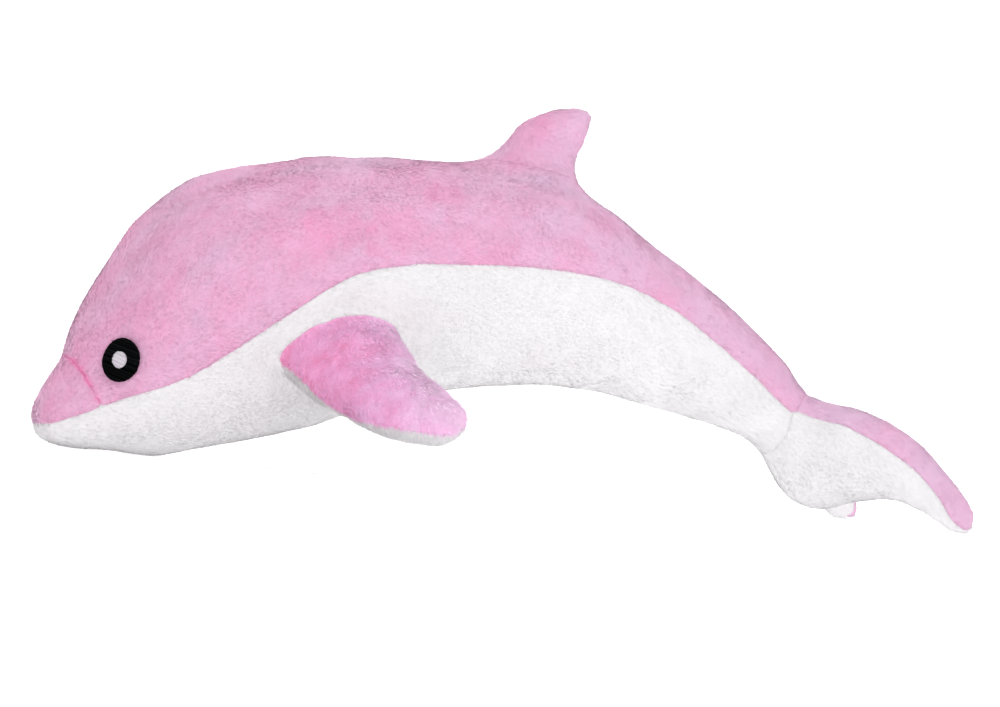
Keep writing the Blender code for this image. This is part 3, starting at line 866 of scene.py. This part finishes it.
def embroidery(eye, finishes, lift, ragged):
    """Rows of thread across an eye node, following its face."""
    name = eye + "_stitches"
    eye_oval = oval(eye)
    face = search_tree((eye,))
    threads = bpy.data.curves.new(name, "CURVE")
    threads.dimensions = "3D"
    threads.bevel_depth = THREAD
    threads.bevel_resolution = 1
    threads.use_fill_caps = True
    for shade in finishes:
        threads.materials.append(shade)
    half_tall = eye_oval[4][0]
    for row in range(int(2 * half_tall / ROW_STEP)):
        path = thread_path(row, ragged, eye_oval, face, lift)
        if len(path) < 3:
            continue
        line = threads.splines.new("POLY")
        line.material_index = int(DRAWS.integers(len(finishes)))
        line.points.add(len(path) - 1)
        for point, place_at in zip(line.points, path):
            point.co = (*place_at, 1.0)
    made = bpy.data.objects.new(name + " threads", threads)
    bpy.context.scene.collection.objects.link(made)
    graph = bpy.context.evaluated_depsgraph_get()
    mesh = bpy.data.meshes.new_from_object(made.evaluated_get(graph))
    bpy.data.objects.remove(made)
    mesh.name = name
    mesh.shade_smooth()
    piece(name, mesh)


def thread(name, colour, shine):
    """Rayon thread: smooth fibre, but so tightly packed that it looks nearly matt."""
    return shader(name, colour, 0.6, Specular_IOR_Level=shine)


def eyes():
    """Both eyes: black and off-white rayon thread over the CAD's ovals."""
    # Rows in slightly different shades stay apart to the eye.
    black = [
        thread("black rayon embroidery thread", "090A0B", 0.02),
        thread("black rayon embroidery thread, catching light", "0D0E10", 0.06),
        thread("black rayon embroidery thread, in shade", "050505", 0.0),
    ]
    white = [
        thread("off-white rayon embroidery thread", "D9D4DB", 0.2),
        thread("off-white rayon embroidery thread, in shade", "C6C0C9", 0.2),
    ]
    # Between the rows the underlay shows, dull and darker.
    under_black = shader("black thread underlay", "050505", 0.8, Specular_IOR_Level=0.0)
    under_white = shader("off-white thread underlay", "B9B3BD", 0.8, Specular_IOR_Level=0.1)
    for eye in ("eye_left", "eye_right"):
        glint = eye + "_highlight"
        for oval_name, underlay in ((eye, under_black), (glint, under_white)):
            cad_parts[oval_name].data.materials.clear()
            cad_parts[oval_name].data.materials.append(underlay)
        embroidery(eye, black, 0.12 * MM, 0.5 * MM)
        embroidery(glint, white, 0.10 * MM, 0.35 * MM)


def camera():
    lens = bpy.data.cameras.new("camera")
    lens.lens = LENS
    lens.sensor_width = SENSOR
    lens.clip_start = CLIP_START
    back = Vector((-sin(CAMERA_AZIMUTH) * cos(CAMERA_ELEVATION),
                   -cos(CAMERA_AZIMUTH) * cos(CAMERA_ELEVATION), sin(CAMERA_ELEVATION)))
    right = Vector((0, 0, 1)).cross(back).normalized()
    up = back.cross(right)
    across = right * cos(CAMERA_ROLL) + up * sin(CAMERA_ROLL)
    over = up * cos(CAMERA_ROLL) - right * sin(CAMERA_ROLL)
    made = bpy.data.objects.new("camera", lens)
    made.matrix_world = Matrix.Translation(TARGET + back * CAMERA_DISTANCE) @ Matrix(
        (across, over, back)).transposed().to_4x4()
    bpy.context.scene.collection.objects.link(made)
    bpy.context.scene.camera = made


def sheet(name, matrix, glow):
    """A flat sheet of stage paper, lit from within just enough to read as white."""
    shape = bmesh.new()
    bmesh.ops.create_grid(shape, x_segments=1, y_segments=1, size=SHEET / 2, matrix=matrix)
    mesh = bpy.data.meshes.new(name)
    shape.to_mesh(mesh)
    shape.free()
    made = bpy.data.objects.new(name, mesh)
    mesh.materials.append(shader(name + " paper", PAPER, 0.9, Specular_IOR_Level=0.0,
                                 Emission_Color=(1, 1, 1, 1), Emission_Strength=glow))
    bpy.context.scene.collection.objects.link(made)


def lamp(name, power, place_at, aim):
    light = bpy.data.lights.new(name, "AREA")
    light.shape = "DISK"
    light.size = SOFTBOX
    light.energy = power
    made = bpy.data.objects.new(name, light)
    made.location = place_at
    made.rotation_euler = (Vector(aim) - Vector(place_at)).to_track_quat("-Z", "Y").to_euler()
    bpy.context.scene.collection.objects.link(made)


def studio():
    upright = Matrix.Rotation(pi / 2, 4, "X")
    sheet("floor", Matrix.Identity(4), FLOOR_GLOW)
    sheet("backdrop", Matrix.Translation(BACKDROP_PLACE) @ upright, BACKDROP_GLOW)
    for name, power, place_at, aim in LAMPS:
        lamp(name, power, place_at, aim)
    world = bpy.data.worlds.new("studio")
    world.use_nodes = True
    background = world.node_tree.nodes["Background"]
    background.inputs["Color"].default_value = (1, 1, 1, 1)
    background.inputs["Strength"].default_value = ROOM_LIGHT
    scene = bpy.context.scene
    scene.world = world
    scene.view_settings.view_transform = "Standard"


dress()
eyes()
camera()
studio()
